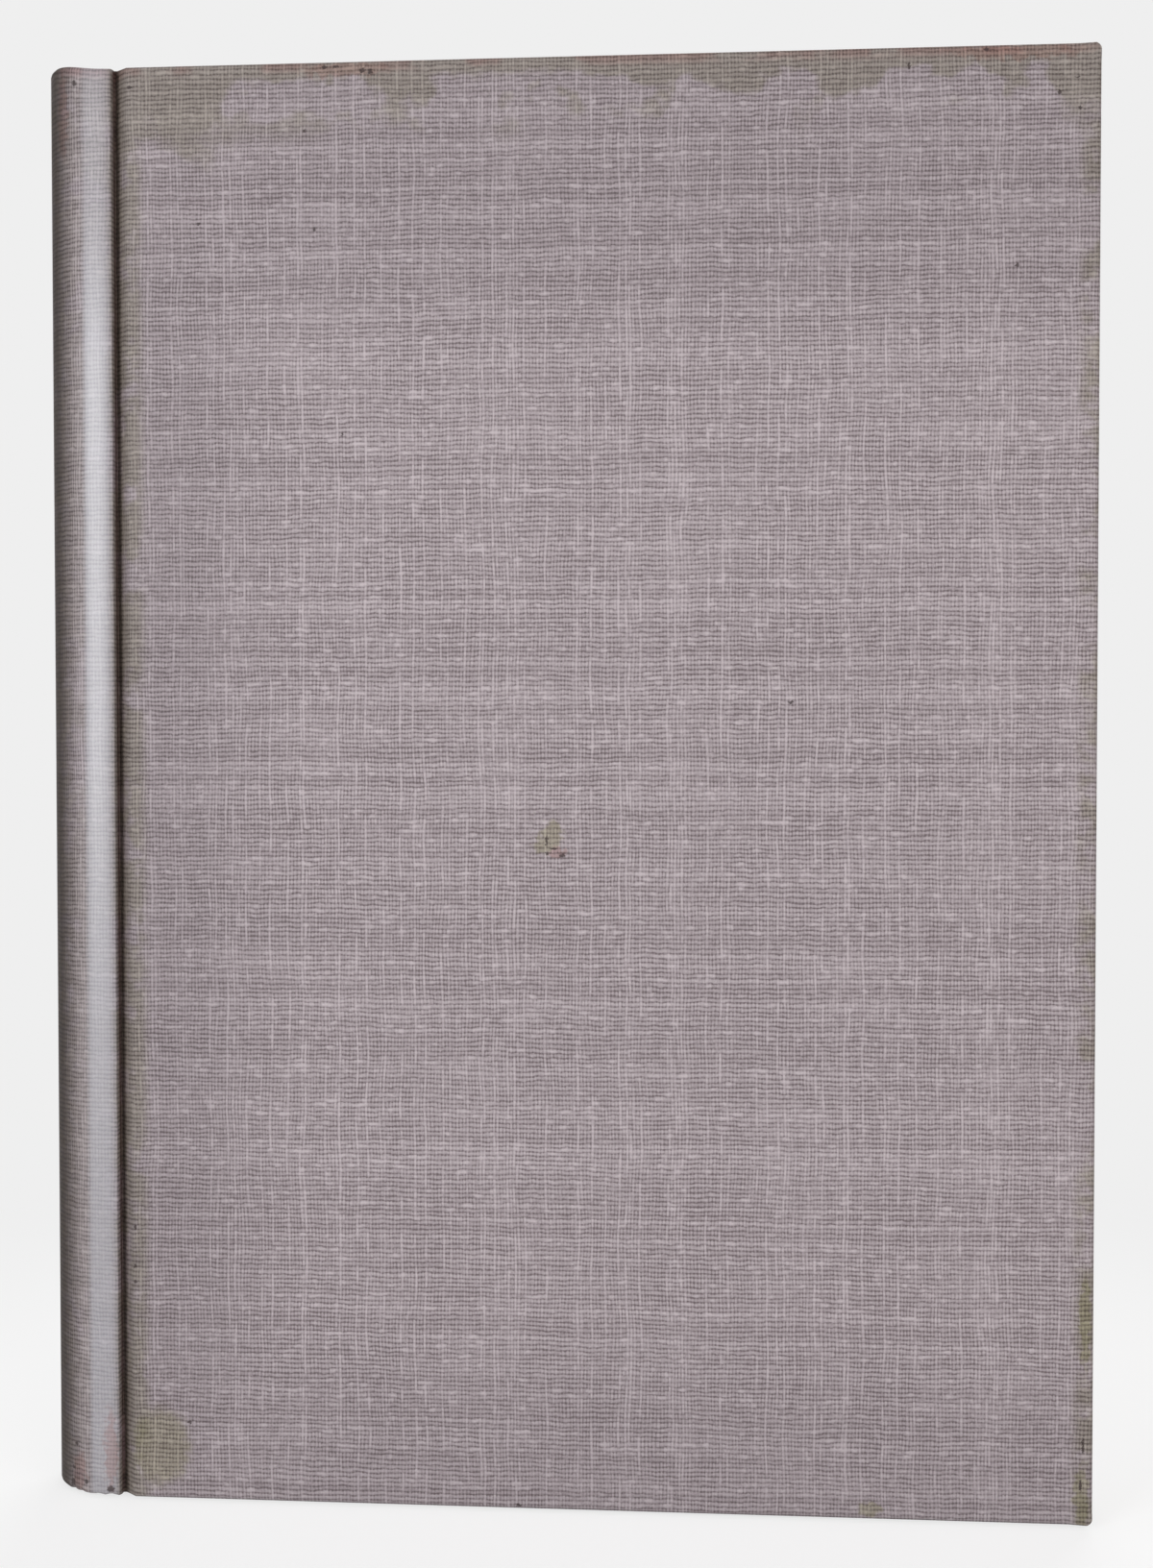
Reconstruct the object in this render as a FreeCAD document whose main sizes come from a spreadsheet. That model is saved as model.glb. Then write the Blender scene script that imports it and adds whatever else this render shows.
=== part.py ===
import FreeCAD, Part
import math
import os
import Sketcher

# A cloth-bound hardback book with a rounded spine, standing closed on its tail edge.
# The fore-edge is at +X, the spine at -X, the front cover at -Y and the head at +Z.
# The origin is at the middle of the tail, on the surface that the book stands on.

doc = FreeCAD.newDocument("hardback_book")
dims = doc.addObject("Spreadsheet::Sheet", "dims")

# Driving dimensions, in millimetres and degrees.
sizes = {
    "page_width": 148,        # a leaf, from its fold to its trimmed fore-edge
    "page_height": 210,
    "leaves_thickness": 14.8,  # all the leaves, pressed together
    "fore_hollow": 4.15,      # how deep the fore-edge is hollowed by the rounding
    "square": 3,              # how far the covers stand past the pages at head and tail
    "fore_square": 4,         # and at the fore-edge
    "board": 2.5,
    "cloth": 0.4,
    "paper": 0.15,            # one leaf of endpaper
    "mull": 0.25,             # open cotton glued along the back of the pages
    "lining": 0.2,
    "hollow": 0.5,            # the gap between the lined pages and the case's spine
    "inlay": 0.5,             # card strip that stiffens the spine
    "barrel_drop": 0.2,       # how far the ridge lies below the cover's face
    "ridge_flat": 0.4,
    "ridge_round": 0.8,
    "groove_depth": 2.4,
    "groove_flat": 0.45,
    "groove_slope": 54,       # the board's side of the groove, against the cover's face
    "shoulder_slope": 70,     # the pages' shoulder, against their side
    "hinge_offset": 0.2,      # from the ridge to the line that a cover turns on
    "hinge_slit": 0.1,        # between the cloth of a cover and the cloth of the spine
    "turn_in": 15,            # cloth folded round a cover's edges and glued inside
    "spine_turn_in": 12,
    "mull_width": 22,         # mull glued to the inside of a board
    "mull_gap": 0.5,          # between the mull and the turn-ins
    "lining_setback": 1,
    "band_tape": 11,
    "band_angle": 150,
    "bead_radius": 0.75,
    "bead_inset": 0.35,       # from the back of the pages to the middle of the bead
    "edge_round": 0.8,
}
for row, (alias, size) in enumerate(sizes.items(), start=1):
    dims.set(f"A{row}", alias)
    dims.set(f"B{row}", str(size))
    dims.setAlias(f"B{row}", alias)
doc.recompute()

# Places worked out from the dimensions. The levels run outwards from the middle of
# the pages, and the front cover's are those of the back cover with their sign changed.
back_layers = "(dims.cloth + dims.inlay + dims.hollow + dims.lining + dims.mull)"
case_height = "(dims.page_height + 2 * dims.square)"
case_width = f"(dims.page_width + dims.fore_hollow + dims.fore_square + {back_layers})"
page_top = "(dims.square + dims.page_height)"

leaf_face = "(dims.leaves_thickness / 2)"
flyleaf_face = f"({leaf_face} + dims.paper)"
turn_in_face = f"({flyleaf_face} + dims.paper)"
board_inner = f"({turn_in_face} + dims.cloth)"
board_outer = f"({board_inner} + dims.board)"
cover_face = f"({board_outer} + dims.cloth)"
groove_outer = f"({cover_face} - dims.groove_depth)"
groove_inner = f"({groove_outer} - dims.cloth)"

barrel_radius = f"({cover_face} - dims.barrel_drop)"
inlay_radius = f"({barrel_radius} - dims.cloth)"
turn_in_radius = f"({inlay_radius} - dims.inlay)"
block_radius = f"({barrel_radius} - {back_layers})"
mull_radius = f"({block_radius} + dims.mull)"

fore_x = f"({case_width} / 2)"
page_fore_x = f"({fore_x} - dims.fore_square)"
barrel_x = f"({barrel_radius} - {case_width} / 2)"
ridge_x = f"({barrel_x} + dims.ridge_flat + dims.ridge_round)"
hinge_x = f"({ridge_x} + dims.hinge_offset)"
spine_cut_x = f"({hinge_x} - dims.hinge_slit / 2)"
cover_cut_x = f"({hinge_x} + dims.hinge_slit / 2)"
slope_start_x = f"({cover_cut_x} + dims.groove_flat)"
slope_end_x = f"({slope_start_x} + dims.groove_depth / tan(dims.groove_slope))"
slope_inner_x = f"({slope_start_x} + dims.cloth * tan(dims.groove_slope / 2))"
board_x = f"({slope_inner_x} + dims.groove_depth / tan(dims.groove_slope))"
turn_in_x = f"({fore_x} - dims.cloth - dims.turn_in)"
turn_in_z = "(dims.cloth + dims.turn_in)"
mull_x = f"({board_x} + dims.mull_width)"
shoulder_x = f"({barrel_x} + ({block_radius} - {leaf_face}) / tan(dims.shoulder_slope))"


def value(text):
    """The number that an expression comes to."""
    return float(dims.evalExpression(text))


def minus(text):
    return f"(0 - {text})"


def plane_of(body, role):
    return next(f for f in body.Origin.OriginFeatures if f.Role == role)


def new_body(label, z=None):
    """A body whose own plane lies at the height z."""
    body = doc.addObject("PartDesign::Body", label)
    body.Label = label
    if z:
        body.setExpression("Placement.Base.z", z)
    doc.recompute()
    return body


def bind(sketch, kind, geometry, vertex, text):
    """Hold a sketch vertex at a distance from the sketch's origin."""
    rule = Sketcher.Constraint(kind, -1, 1, geometry, vertex, value(text))
    sketch.setExpression(f"Constraints[{sketch.addConstraint(rule)}]", text)


def outline(body, name, corners, role="XY_Plane", lift=None, along=None):
    """A closed sketch through its corners, each (x, y) reached by a straight line, or
    (x, y, arc) reached by an arc of (centre x, centre y, radius, 1 or -1 for clockwise).
    The sketch is lifted off its plane, and its origin is moved along X."""
    sketch = body.newObject("Sketcher::SketchObject", name)
    sketch.AttachmentSupport = (plane_of(body, role), [""])
    sketch.MapMode = "FlatFace"
    if lift:
        sketch.setExpression("AttachmentOffset.Base.z", lift)
    if along:
        sketch.setExpression("AttachmentOffset.Base.x", along)
    points = [FreeCAD.Vector(value(corner[0]), value(corner[1]), 0) for corner in corners]
    ends = []
    flat_at = {}
    for i, corner in enumerate(corners):
        start, end = points[i - 1], points[i]
        if len(corner) == 2:
            line = sketch.addGeometry(Part.LineSegment(start, end))
            ends.append((line, 1, 2))
            continue
        centre_x, centre_y, radius, turn = corner[2]
        centre = FreeCAD.Vector(value(centre_x), value(centre_y), 0)
        angles = [math.atan2(p.y - centre.y, p.x - centre.x) for p in (start, end)]
        first, last = angles if turn > 0 else reversed(angles)
        circle = Part.Circle(centre, FreeCAD.Vector(0, 0, 1), value(radius))
        arc = sketch.addGeometry(Part.ArcOfCircle(circle, first, last))
        bind(sketch, "DistanceX", arc, 3, centre_x)
        bind(sketch, "DistanceY", arc, 3, centre_y)
        rule = Sketcher.Constraint("Radius", arc, value(radius))
        sketch.setExpression(f"Constraints[{sketch.addConstraint(rule)}]", radius)
        ends.append((arc, 1, 2) if turn > 0 else (arc, 2, 1))
        # A vertex of an arc is held along the axis that it would slide on.
        for place, angle in zip((i - 1, i), angles):
            flat_at[place % len(corners)] = abs(math.sin(angle)) > abs(math.cos(angle))
    for i, (geometry, _, vertex) in enumerate(ends):
        following, start_vertex, _ = ends[(i + 1) % len(ends)]
        sketch.addConstraint(
            Sketcher.Constraint("Coincident", geometry, vertex, following, start_vertex))
        if flat_at.get(i, True):
            bind(sketch, "DistanceX", geometry, vertex, corners[i][0])
        if not flat_at.get(i, False):
            bind(sketch, "DistanceY", geometry, vertex, corners[i][1])
    doc.recompute()
    return sketch


def rectangle(x_low, x_high, y_low, y_high):
    return [(x_low, y_low), (x_high, y_low), (x_high, y_high), (x_low, y_high)]


def pad(body, name, sketch, length, reversed_way=False):
    feature = body.newObject("PartDesign::Pad", name)
    feature.Profile = sketch
    feature.setExpression("Length", length)
    feature.Reversed = reversed_way
    doc.recompute()
    return feature


def pocket(body, name, sketch, length, reversed_way=False):
    feature = body.newObject("PartDesign::Pocket", name)
    feature.Profile = sketch
    feature.setExpression("Length", length)
    feature.Reversed = reversed_way
    before = body.Tip.BaseFeature.Shape.Volume
    doc.recompute()
    if feature.Shape.Volume >= before:
        raise RuntimeError(f"{body.Label}: {name} cuts nothing")
    return feature


def round_edges(body, name, base, is_wanted, radius):
    """Round the edges of a feature whose two ends and middle all pass a test."""
    picked = [
        f"Edge{i}" for i, edge in enumerate(base.Shape.Edges, start=1)
        if all(is_wanted(p) for p in edge.discretize(3))]
    feature = body.newObject("PartDesign::Fillet", name)
    feature.Base = (base, picked)
    feature.setExpression("Radius", radius)
    doc.recompute()
    return feature


def near(a, b):
    return abs(a - b) < 0.001


def half_ring(inner, outer):
    """The section of a layer that goes round the back, from shoulder to shoulder."""
    return [
        (barrel_x, outer),
        (barrel_x, minus(outer), (barrel_x, "0", outer, 1)),
        (barrel_x, minus(inner)),
        (barrel_x, inner, (barrel_x, "0", inner, -1))]


# The pages, sewn and glued into one block, with a round back that is knocked out into
# a shoulder on each side, and a fore-edge that is hollow because the back is round.
def make_text_block():
    body = new_body("text_block", "dims.square")
    fore_radius = (f"(({leaf_face} * {leaf_face} + dims.fore_hollow * dims.fore_hollow)"
                   " / (2 * dims.fore_hollow))")
    fore_centre_x = f"({page_fore_x} - dims.fore_hollow + {fore_radius})"
    section = outline(body, "page_section", [
        (page_fore_x, leaf_face, (fore_centre_x, "0", fore_radius, -1)),
        (shoulder_x, leaf_face),
        (barrel_x, block_radius),
        (barrel_x, minus(block_radius), (barrel_x, "0", block_radius, 1)),
        (shoulder_x, minus(leaf_face)),
        (page_fore_x, minus(leaf_face))])
    pad(body, "pages", section, "dims.page_height")
    return body


# Where a layer lies on the shoulder, its corner at the foot and its end at the tip.
def foot_x(offset):
    return f"({shoulder_x} + {offset} * tan(dims.shoulder_slope / 2))"


def tip_x(offset):
    return f"({barrel_x} + {offset} * sin(dims.shoulder_slope))"


def tip_level(offset):
    return f"({block_radius} + {offset} * cos(dims.shoulder_slope))"


# The loose leaf of an endpaper: it covers the pages' side and laps up their shoulder.
def make_flyleaf(label):
    body = new_body(label, "dims.square")
    section = outline(body, "leaf_section", [
        (page_fore_x, minus(leaf_face)),
        (shoulder_x, minus(leaf_face)),
        (barrel_x, minus(block_radius)),
        (tip_x("dims.paper"), minus(tip_level("dims.paper"))),
        (foot_x("dims.paper"), minus(flyleaf_face)),
        (page_fore_x, minus(flyleaf_face))])
    pad(body, "leaf", section, "dims.page_height")
    return body


# Open cotton on the back of the pages. It laps over both shoulders to the hinges.
def make_mull():
    body = new_body("mull", f"{turn_in_z} + dims.mull_gap")
    outside = "(dims.paper + dims.mull)"
    mull_face = f"({flyleaf_face} + dims.mull)"
    section = outline(body, "mull_section", [
        (spine_cut_x, flyleaf_face),
        (spine_cut_x, mull_face),
        (foot_x(outside), mull_face),
        (tip_x(outside), tip_level(outside)),
        (barrel_x, mull_radius),
        (barrel_x, minus(mull_radius), (barrel_x, "0", mull_radius, 1)),
        (tip_x(outside), minus(tip_level(outside))),
        (foot_x(outside), minus(mull_face)),
        (spine_cut_x, minus(mull_face)),
        (spine_cut_x, minus(flyleaf_face)),
        (foot_x("dims.paper"), minus(flyleaf_face)),
        (tip_x("dims.paper"), minus(tip_level("dims.paper"))),
        (barrel_x, minus(block_radius)),
        (barrel_x, block_radius, (barrel_x, "0", block_radius, -1)),
        (tip_x("dims.paper"), tip_level("dims.paper")),
        (foot_x("dims.paper"), flyleaf_face)])
    pad(body, "back", section, f"{case_height} - 2 * ({turn_in_z} + dims.mull_gap)")
    return body


# Paper glued over the mull, between the head and the tail.
def make_spine_lining():
    body = new_body("spine_lining", "dims.square + dims.lining_setback")
    ring = half_ring(mull_radius, f"({mull_radius} + dims.lining)")
    section = outline(body, "lining_section", ring)
    pad(body, "lining", section, "dims.page_height - 2 * dims.lining_setback")
    return body


# A woven bead that stands on the end of the pages, on a tape glued to their back.
def make_band(label, is_head):
    body = new_body(label)
    body.setExpression("Placement.Base.x", barrel_x)
    body.setExpression("Placement.Base.z", page_top if is_head else "dims.square")
    side = 1 if is_head else -1
    tape_section = outline(body, "tape_section", [
        (minus(mull_radius), f"({-side} * dims.band_tape)"),
        (minus(block_radius), f"({-side} * dims.band_tape)"),
        (minus(block_radius), f"({side} * dims.bead_radius)"),
        (minus(mull_radius), f"({side} * dims.bead_radius)")], "XZ_Plane")
    bead_section = body.newObject("Sketcher::SketchObject", "bead_section")
    bead_section.AttachmentSupport = (plane_of(body, "XZ_Plane"), [""])
    bead_section.MapMode = "FlatFace"
    bead_x = f"(dims.bead_inset - {block_radius})"
    bead_z = f"({side} * dims.bead_radius)"
    centre = FreeCAD.Vector(value(bead_x), value(bead_z), 0)
    bead_section.addGeometry(
        Part.Circle(centre, FreeCAD.Vector(0, 0, 1), value("dims.bead_radius")))
    bind(bead_section, "DistanceX", 0, 3, bead_x)
    bind(bead_section, "DistanceY", 0, 3, bead_z)
    rule = Sketcher.Constraint("Radius", 0, value("dims.bead_radius"))
    bead_section.setExpression(
        f"Constraints[{bead_section.addConstraint(rule)}]", "dims.bead_radius")
    doc.recompute()
    for name, section in (("tape", tape_section), ("bead", bead_section)):
        turned = body.newObject("PartDesign::Revolution", name)
        turned.Profile = section
        turned.ReferenceAxis = (plane_of(body, "Z_Axis"), [""])
        turned.setExpression("Angle", "dims.band_angle")
        turned.Midplane = True
        doc.recompute()
    return body


# The card strip that keeps the case's spine round.
def make_spine_inlay():
    body = new_body("spine_inlay", "dims.cloth")
    section = outline(body, "inlay_section", half_ring(turn_in_radius, inlay_radius))
    pad(body, "card", section, f"{case_height} - 2 * dims.cloth")
    return body


# The covering cloth between the two hinges: round the spine, over each ridge and down
# into the grooves. It is turned in over the ends of the card strip.
def make_spine_cloth():
    body = new_body("spine_cloth")
    end_round = "dims.edge_round"
    round_radius = f"({barrel_radius} - {end_round})"
    folded_radius = f"({turn_in_radius} - dims.cloth)"
    barrel = outline(body, "barrel_section", [
        (minus(barrel_radius), end_round, (minus(round_radius), end_round, end_round, -1)),
        (minus(barrel_radius), f"({case_height} - {end_round})"),
        (minus(round_radius), case_height,
         (minus(round_radius), f"({case_height} - {end_round})", end_round, -1)),
        (minus(folded_radius), case_height),
        (minus(folded_radius), f"({case_height} - dims.spine_turn_in)"),
        (minus(turn_in_radius), f"({case_height} - dims.spine_turn_in)"),
        (minus(turn_in_radius), f"({case_height} - dims.cloth)"),
        (minus(inlay_radius), f"({case_height} - dims.cloth)"),
        (minus(inlay_radius), "dims.cloth"),
        (minus(turn_in_radius), "dims.cloth"),
        (minus(turn_in_radius), "dims.spine_turn_in"),
        (minus(folded_radius), "dims.spine_turn_in"),
        (minus(folded_radius), "0"),
        (minus(round_radius), "0")], "XZ_Plane", along=barrel_x)
    turned = body.newObject("PartDesign::Revolution", "barrel")
    turned.Profile = barrel
    turned.ReferenceAxis = (barrel, ["V_Axis"])
    turned.Angle = 180
    turned.Midplane = True
    doc.recompute()
    round_x = f"({ridge_x} - dims.ridge_round)"
    round_level = f"({barrel_radius} - dims.ridge_round)"
    wall_x = f"({ridge_x} - dims.cloth)"
    wall_round = "(dims.ridge_round - dims.cloth)"
    for name, way, turn in (("front", "-1", 1), ("back", "1", -1)):
        ridge = outline(body, f"{name}_ridge_section", [
            (barrel_x, f"({way} * {barrel_radius})"),
            (barrel_x, f"({way} * {inlay_radius})"),
            (round_x, f"({way} * {inlay_radius})"),
            (wall_x, f"({way} * {round_level})",
             (round_x, f"({way} * {round_level})", wall_round, turn)),
            (wall_x, f"({way} * {groove_inner})"),
            (spine_cut_x, f"({way} * {groove_inner})"),
            (spine_cut_x, f"({way} * {groove_outer})"),
            (ridge_x, f"({way} * {groove_outer})"),
            (ridge_x, f"({way} * {round_level})"),
            (round_x, f"({way} * {barrel_radius})",
             (round_x, f"({way} * {round_level})", "dims.ridge_round", -turn))])
        pad(body, f"{name}_ridge", ridge, case_height)
    return body


# The board of a cover.
def make_board(label):
    body = new_body(label, "dims.cloth")
    section = outline(body, "board_section", rectangle(
        board_x, f"({fore_x} - dims.cloth)", minus(board_outer), minus(board_inner)))
    pad(body, "board", section, f"{case_height} - 2 * dims.cloth")
    return body


# The covering cloth of a cover, from its hinge: down in the groove, up over the board
# and round its three other edges, with the turn-ins glued inside.
def make_cover_cloth(label):
    body = new_body(label)
    skin = outline(body, "skin_section", [
        (cover_cut_x, minus(groove_outer)),
        (slope_start_x, minus(groove_outer)),
        (slope_end_x, minus(cover_face)),
        (fore_x, minus(cover_face)),
        (fore_x, minus(turn_in_face)),
        (turn_in_x, minus(turn_in_face)),
        (turn_in_x, minus(board_inner)),
        (f"({fore_x} - dims.cloth)", minus(board_inner)),
        (f"({fore_x} - dims.cloth)", minus(board_outer)),
        (board_x, minus(board_outer)),
        (slope_inner_x, minus(groove_inner)),
        (cover_cut_x, minus(groove_inner))])
    pad(body, "skin", skin, case_height)
    for name, lift, is_head in (("tail", "0", False), ("head", case_height, True)):
        fold = outline(body, f"{name}_fold_section", [
            (cover_cut_x, minus(groove_outer)),
            (slope_start_x, minus(groove_outer)),
            (slope_end_x, minus(cover_face)),
            (fore_x, minus(cover_face)),
            (fore_x, minus(turn_in_face)),
            (cover_cut_x, minus(turn_in_face))], lift=lift)
        pad(body, f"{name}_fold", fold, "dims.cloth", is_head)
        flap = outline(body, f"{name}_flap_section", rectangle(
            cover_cut_x, fore_x, minus(board_inner), minus(turn_in_face)), lift=lift)
        folded = pad(body, f"{name}_flap", flap, turn_in_z, is_head)
    top, edge, face = value(case_height), value(fore_x), -value(cover_face)
    slope_x = value(slope_end_x)

    def on_the_rim(p):
        on_the_edge = near(p.z, 0) or near(p.z, top) or near(p.x, edge)
        on_the_slope = near(p.x, slope_x)
        return near(p.y, face) and (on_the_edge or on_the_slope)

    def on_a_corner(p):
        return near(p.x, edge) and (near(p.z, 0) or near(p.z, top))

    round_edges(body, "soft_rim", folded, lambda p: on_the_rim(p) or on_a_corner(p),
                "dims.edge_round")
    return body


# The mull that is glued to the inside of a board.
def make_mull_flap(label):
    body = new_body(label, f"{turn_in_z} + dims.mull_gap")
    section = outline(body, "flap_section", rectangle(
        cover_cut_x, mull_x, minus(board_inner), f"(dims.mull - {board_inner})"))
    pad(body, "flap", section, f"{case_height} - 2 * ({turn_in_z} + dims.mull_gap)")
    return body


# The glued leaf of an endpaper. It steps up over the turn-ins and over the mull, and
# lies on the bare board between them.
def make_pastedown(label):
    body = new_body(label)
    inside_top = f"({case_height} - {turn_in_z})"
    sheet = outline(body, "sheet_section", rectangle(
        cover_cut_x, page_fore_x, "dims.square", page_top), "XZ_Plane", flyleaf_face)
    pad(body, "sheet", sheet, "(dims.paper + dims.cloth)")
    past_sheet = f"({fore_x} + dims.cloth)"
    over_turn_ins = outline(body, "turn_in_print", [
        (f"({cover_cut_x} - dims.cloth)", "0"),
        (past_sheet, "0"),
        (past_sheet, case_height),
        (f"({cover_cut_x} - dims.cloth)", case_height),
        (f"({cover_cut_x} - dims.cloth)", inside_top),
        (turn_in_x, inside_top),
        (turn_in_x, turn_in_z),
        (f"({cover_cut_x} - dims.cloth)", turn_in_z)], "XZ_Plane", board_inner)
    pocket(body, "over_turn_ins", over_turn_ins, "dims.cloth")
    over_mull = outline(body, "mull_print", rectangle(
        f"({cover_cut_x} - dims.cloth)", mull_x,
        f"({turn_in_z} + dims.mull_gap)", f"({inside_top} - dims.mull_gap)"),
        "XZ_Plane", board_inner)
    pocket(body, "over_mull", over_mull, "dims.mull")
    on_board = outline(body, "board_print", rectangle(
        f"({mull_x} + dims.paper)", f"({turn_in_x} - dims.paper)",
        f"({turn_in_z} + dims.paper)", f"({inside_top} - dims.paper)"),
        "XZ_Plane", flyleaf_face)
    pocket(body, "on_board", on_board, "dims.cloth", True)
    on_mull = outline(body, "mull_face", rectangle(
        f"({cover_cut_x} - dims.cloth)", f"({mull_x} + 2 * dims.paper)",
        f"({turn_in_z} + dims.mull_gap + dims.paper)",
        f"({inside_top} - dims.mull_gap - dims.paper)"), "XZ_Plane", flyleaf_face)
    pocket(body, "on_mull", on_mull, "(dims.cloth - dims.mull)", True)
    return body


def mirror_of(source, label):
    """The same piece on the other side of the book."""
    copy = doc.addObject("Part::Mirroring", label)
    copy.Label = label
    copy.Source = source
    copy.Normal = FreeCAD.Vector(0, 1, 0)
    return copy


front_pieces = [
    make_flyleaf("front_flyleaf"),
    make_board("front_board"),
    make_cover_cloth("front_cloth"),
    make_mull_flap("front_mull_flap"),
    make_pastedown("front_pastedown")]
back_pieces = [
    mirror_of(piece, piece.Label.replace("front", "back")) for piece in front_pieces]
pieces = front_pieces + back_pieces + [
    make_text_block(),
    make_mull(),
    make_spine_lining(),
    make_band("headband", True),
    make_band("tailband", False),
    make_spine_inlay(),
    make_spine_cloth()]

doc.recompute()
for thing in doc.Objects:
    if "Invalid" in thing.State or "Error" in thing.State:
        raise RuntimeError(f"{thing.Label} failed: {thing.State}")
for piece in pieces:
    if piece.Shape.isNull() or not piece.Shape.isValid() or len(piece.Shape.Solids) != 1:
        raise RuntimeError(f"{piece.Label} is not one valid solid")

os.makedirs("parts", exist_ok=True)
for piece in pieces:
    piece.Shape.exportStep(f"parts/{piece.Label}.step")
    box = piece.Shape.BoundBox
    print(f"{piece.Label}: {piece.Shape.Volume:.1f} mm3, X {box.XMin:.2f} {box.XMax:.2f}, "
          f"Y {box.YMin:.2f} {box.YMax:.2f}, Z {box.ZMin:.2f} {box.ZMax:.2f}")
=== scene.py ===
import math
import random

import bpy
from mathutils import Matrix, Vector


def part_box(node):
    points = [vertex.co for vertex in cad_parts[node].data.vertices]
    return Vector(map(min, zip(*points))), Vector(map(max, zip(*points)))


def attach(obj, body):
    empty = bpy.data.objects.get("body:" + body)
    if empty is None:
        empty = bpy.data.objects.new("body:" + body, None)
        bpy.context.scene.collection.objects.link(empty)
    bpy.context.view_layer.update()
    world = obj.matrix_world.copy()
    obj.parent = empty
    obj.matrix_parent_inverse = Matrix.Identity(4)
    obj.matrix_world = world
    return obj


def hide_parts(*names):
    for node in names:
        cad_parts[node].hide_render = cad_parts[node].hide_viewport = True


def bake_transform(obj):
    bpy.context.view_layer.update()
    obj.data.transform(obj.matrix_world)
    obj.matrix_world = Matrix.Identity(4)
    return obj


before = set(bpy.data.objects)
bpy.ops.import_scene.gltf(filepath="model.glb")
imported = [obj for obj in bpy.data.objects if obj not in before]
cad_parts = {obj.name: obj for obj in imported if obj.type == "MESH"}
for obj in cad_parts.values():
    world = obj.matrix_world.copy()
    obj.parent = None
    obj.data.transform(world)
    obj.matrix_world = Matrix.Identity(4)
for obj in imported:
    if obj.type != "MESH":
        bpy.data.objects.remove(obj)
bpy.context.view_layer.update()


# Camera
# It stands in front of the front cover, a little right of the middle and at about half height,
# so that the round spine shows along the left edge.
camera_place = (0.0335, -0.3521, 0.1198)
camera_tilt = (math.radians(88.18), math.radians(0.03), math.radians(5.11))
camera_lens = 53.06

bpy.ops.object.camera_add(location=camera_place, rotation=camera_tilt)
camera = bpy.context.object
camera.data.lens = camera_lens
bpy.context.scene.camera = camera


# Covering cloth on the spine
# One piece of book cloth covers both boards and the spine. Over the spine it is glued to a strip of
# card, and at the head and the tail it is turned over the end of the card and down inside it.
cloth_thickness = 0.0004
spine_low, spine_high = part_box("spine_cloth")
front_low, front_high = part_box("front_cloth")
book_height = round(spine_high.z, 4)
cover_level = round(-front_low.y, 5)
barrel_radius = round(-spine_low.y, 5)
barrel_middle = round(spine_low.x, 4) + barrel_radius
ridge_gap = 0.00025
ridge_side = round(front_low.x - ridge_gap, 5)
ridge_round = 0.00025
ridge_flat_end = ridge_side - ridge_round
turn_in_depth = 0.0013
turned_in_from = 0.0012
turn_in_radius = barrel_radius - turn_in_depth
spine_turn_in = 0.012
inner_drop = 0.0005
inner_fall = 0.0007
split_level = 0.0093
split_inner = 0.0080
groove_floor = 0.0086
slope_foot = -0.0668
wall_lean = 0.0001
slope_top = -0.064556
edge_smoothing = math.radians(50)


def start_from_point(name, place):
    """A new mesh of one point, left open in edit mode to be drawn out."""
    bpy.ops.object.select_all(action="DESELECT")
    bpy.ops.mesh.primitive_plane_add(size=0.001, location=place)
    piece = bpy.context.object
    piece.name = name
    bpy.ops.object.transform_apply(location=True, rotation=True, scale=True)
    bpy.ops.object.mode_set(mode="EDIT")
    bpy.ops.mesh.select_mode(type="VERT")
    bpy.ops.mesh.select_all(action="SELECT")
    bpy.ops.mesh.merge(type="CENTER")
    return piece


def draw_by(x=0.0, y=0.0, z=0.0):
    """Extrude what is selected by a step."""
    bpy.ops.mesh.extrude_region_move(TRANSFORM_OT_translate={"value": (x, y, z)})


def draw_round(angle, centre, axis, steps):
    """Turn what is selected about an axis, leaving a surface behind it."""
    bpy.ops.mesh.spin(steps=steps, angle=angle, center=centre, axis=axis)


def pick(piece, kind, wanted):
    """Select the points, edges or faces of an open mesh that the test wants, by their middle."""
    bpy.ops.mesh.select_mode(type=kind)
    bpy.ops.mesh.select_all(action="DESELECT")
    bpy.ops.object.mode_set(mode="OBJECT")
    mesh = piece.data
    for part in {"VERT": mesh.vertices, "EDGE": mesh.edges, "FACE": mesh.polygons}[kind]:
        corners = [part.co] if kind == "VERT" else [mesh.vertices[i].co for i in part.vertices]
        part.select = wanted(sum(corners, Vector()) / len(corners), corners)
    bpy.ops.object.mode_set(mode="EDIT")


def carry_section(start, steps):
    """Draw the open end of a wrapped cloth on along the joint. Each step has its place along X, the
    level of the outer face and the level of the turn-in."""
    x, outer, inner = start
    for next_x, next_outer, next_inner in steps:
        draw_by(x=next_x - x, y=outer - next_outer)
        stretch = (next_outer - next_inner) / (outer - inner)
        bpy.ops.transform.resize(value=(1, stretch, 1), center_override=(0, -next_outer, 0))
        x, outer, inner = next_x, next_outer, next_inner


def finish_modifiers(piece):
    """Apply the modifiers of a piece, in order."""
    bpy.context.view_layer.objects.active = piece
    for name in [modifier.name for modifier in piece.modifiers]:
        bpy.ops.object.modifier_apply(modifier=name)


def thicken(piece, thickness, offset=-1.0):
    """Give a sheet its thickness, by default on the inner side."""
    wall = piece.modifiers.new("thickness", "SOLIDIFY")
    wall.thickness = thickness
    wall.offset = offset
    finish_modifiers(piece)


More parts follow.
